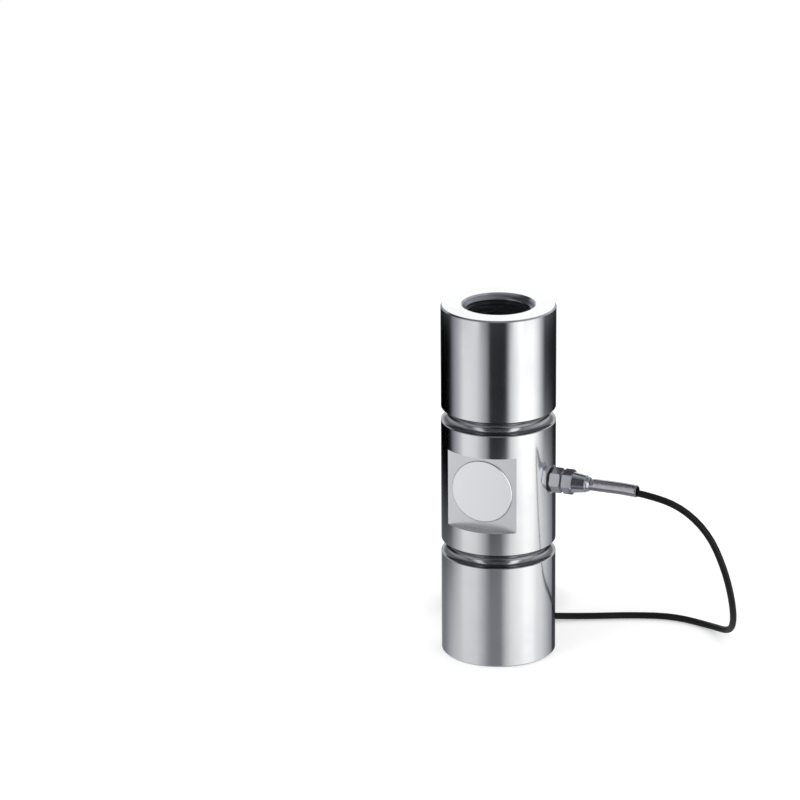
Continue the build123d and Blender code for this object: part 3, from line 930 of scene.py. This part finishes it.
# Covers: two stamped discs of stainless sheet with a satin grain, each laser welded into its
# seat with a narrow bead of overlapping spots.
cover_sheet = Finish("satin_sheet", metallic=1.0)
satin = noise(cover_sheet.place, 900.0, 4.0, 0.65)
across_grain = part_of(cover_sheet.place, "X") + part_of(cover_sheet.place, "Z") * 0.2
satin_streaks = lines(across_grain, 0.12 * mm)
cover_sheet.set(
    base_color=blend_colours(satin, (0.94, 0.945, 0.955), (0.98, 0.98, 0.985)),
    roughness=0.16 + satin * 0.08 + satin_streaks * 0.04,
    normal=relief(satin_streaks + satin, 0.0006 * mm),
)
dress(cover_sheet, "front_cover", "rear_cover")

weld_metal = Finish("weld_bead", metallic=1.0)
weld_tone = noise(weld_metal.place, 500.0, 3.0)
weld_metal.set(
    base_color=blend_colours(weld_tone, (0.7, 0.7, 0.71), (0.82, 0.82, 0.83)),
    roughness=0.34 + weld_tone * 0.14,
)
bead_ring_r, bead_half_width, bead_height = 21.1, 0.3, 0.18
bead_spots, between_spots = 240, 0.72
bead_section = [
    (bead_half_width * cos(radians(60 * k)), bead_height * sin(radians(60 * k))) for k in range(6)
]
for side, way in (("front", -1), ("rear", 1)):
    bead = bmesh.new()
    bead_line = [((bead_ring_r + out) * mm, up * mm, 0) for out, up in bead_section]
    revolved(bead, bead_line, axis=(0, 1, 0), steps=2 * bead_spots)
    for vertex in bead.verts:
        spot = round(Vector((vertex.co.x, vertex.co.z)).angle_signed(Vector((1, 0))) * bead_spots / pi)
        vertex.co.y *= 1.0 if spot % 2 else between_spots
    bmesh.ops.translate(bead, verts=bead.verts, vec=(0, way * flat_distance * mm, body_length / 2 * mm))
    name = f"{side}_weld_bead"
    add_piece(mesh_from(bead, name, 60.0), name, weld_metal)


# Gland: turned and milled brass with a satin nickel plating, a rubber seal washer under its
# hexagon, a rubber grommet round the cable and a tapered collar at the nose of its nut.
nickel = Finish("nickel_plating", metallic=1.0)
nickel_cloud = noise(nickel.place, 160.0, 4.0)
nickel_marks = lines(part_of(nickel.place, "X"), 0.14 * mm)
nickel.set(
    base_color=blend_colours(nickel_cloud, (0.5, 0.52, 0.56), (0.62, 0.63, 0.66)),
    roughness=0.1 + nickel_cloud * 0.08 + nickel_marks * 0.05,
    normal=relief(nickel_marks, 0.004 * mm),
)
dress(nickel, "gland_body", "gland_nut", "gland_thrust_washer", "gland_collar")

rubber = Finish("seal_rubber")
rubber_grain = noise(rubber.place, 1800.0, 3.0)
rubber.set(
    base_color=blend_colours(rubber_grain, (0.014, 0.014, 0.015), (0.028, 0.028, 0.03)),
    roughness=0.55 + rubber_grain * 0.15,
    normal=relief(rubber_grain, 0.02 * mm),
)
dress(rubber, "gland_seal_washer", "gland_grommet")


# Strain gauges: an etched foil grid under amber film, with two tinned tabs. Two are glued to
# each side of the web, one along the column and one across it.
gauge_film = Finish("gauge_film", coat_roughness=0.1)
foil_pitch, tab_distance = 0.4, 4.32
gauge_x = part_of(gauge_film.place, "X")
foil_lines = gauge_x.maths("SINE", gauge_x * (2 * pi / (foil_pitch * mm))) > 0.0
tabs = abs(part_of(gauge_film.place, "Y")) > tab_distance * mm
film_colour = blend_colours(foil_lines, (0.62, 0.38, 0.08), (0.5, 0.36, 0.2))
gauge_film.set(
    base_color=blend_colours(tabs, film_colour, (0.75, 0.73, 0.7)),
    metallic=tabs,
    roughness=0.3 + noise(gauge_film.place, 800.0) * 0.1,
    coat_weight=1.0 - tabs,
)
dress(
    gauge_film,
    "front_axial_gauge",
    "front_transverse_gauge",
    "rear_axial_gauge",
    "rear_transverse_gauge",
)


# Terminal boards: green glass laminate glued to the web, one on each side, with round tinned
# solder pads that stand a little proud of it.
laminate = Finish("board_laminate")
pad_distance = 4.82
weave = noise(laminate.place, 1500.0, 2.0)
pads = abs(part_of(laminate.place, "Y")) > pad_distance * mm
laminate.set(
    base_color=blend_colours(
        pads, blend_colours(weave, (0.03, 0.2, 0.08), (0.06, 0.3, 0.12)), (0.76, 0.75, 0.73)
    ),
    metallic=pads,
    roughness=0.34 + weave * 0.12,
    normal=relief(weave, 0.02 * mm),
)
dress(laminate, "front_terminal_board", "rear_terminal_board")


# Trimming resistors: lacquered ceramic bodies with two colour bands, on bare wire legs that
# are soldered across two pads of the rear board.
resistor_lacquer = Finish("resistor_lacquer")
resistor_place, resistor_body_half = 4.4, 1.31
band_start, band_end = 0.5, 0.75
from_middle = abs(abs(part_of(resistor_lacquer.place, "X")) - resistor_place * mm)
legs = from_middle > resistor_body_half * mm
band = (from_middle > band_start * mm) * (from_middle < band_end * mm)
lacquer = blend_colours(band, (0.3, 0.46, 0.58), (0.35, 0.12, 0.05))
resistor_lacquer.set(
    base_color=blend_colours(legs, lacquer, (0.7, 0.69, 0.67)),
    metallic=legs,
    roughness=0.24 + noise(resistor_lacquer.place, 900.0) * 0.12,
)
dress(resistor_lacquer, "trim_resistor_1", "trim_resistor_2")


# Inner wiring: enamelled copper leads from the gauges, two crossover wires through the web,
# and the cable's four insulated conductors from the gland port to the front board.
enamel = Finish("copper_enamel", metallic=1.0)
enamel_cloud = noise(enamel.place, 1400.0)
enamel.set(
    base_color=blend_colours(enamel_cloud, (0.6, 0.24, 0.09), (0.75, 0.36, 0.15)),
    roughness=0.22 + enamel_cloud * 0.14,
)
dress(
    enamel,
    *[
        f"{side}_{kind}_lead_{number}"
        for side in ("front", "rear")
        for kind in ("axial", "transverse")
        for number in (1, 2)
    ],
    "crossover_wire_1",
    "crossover_wire_2",
)
for colour_name in ("red", "black", "green", "white"):
    insulation = Finish(f"conductor_{colour_name}_insulation")
    colour = core_colours[colour_name][1]
    rubbed = noise(insulation.place, 900.0)
    insulation.set(
        base_color=blend_colours(rubbed, tuple(0.9 * c for c in colour), colour),
        roughness=0.34 + rubbed * 0.12,
    )
    dress(insulation, f"conductor_{colour_name}")
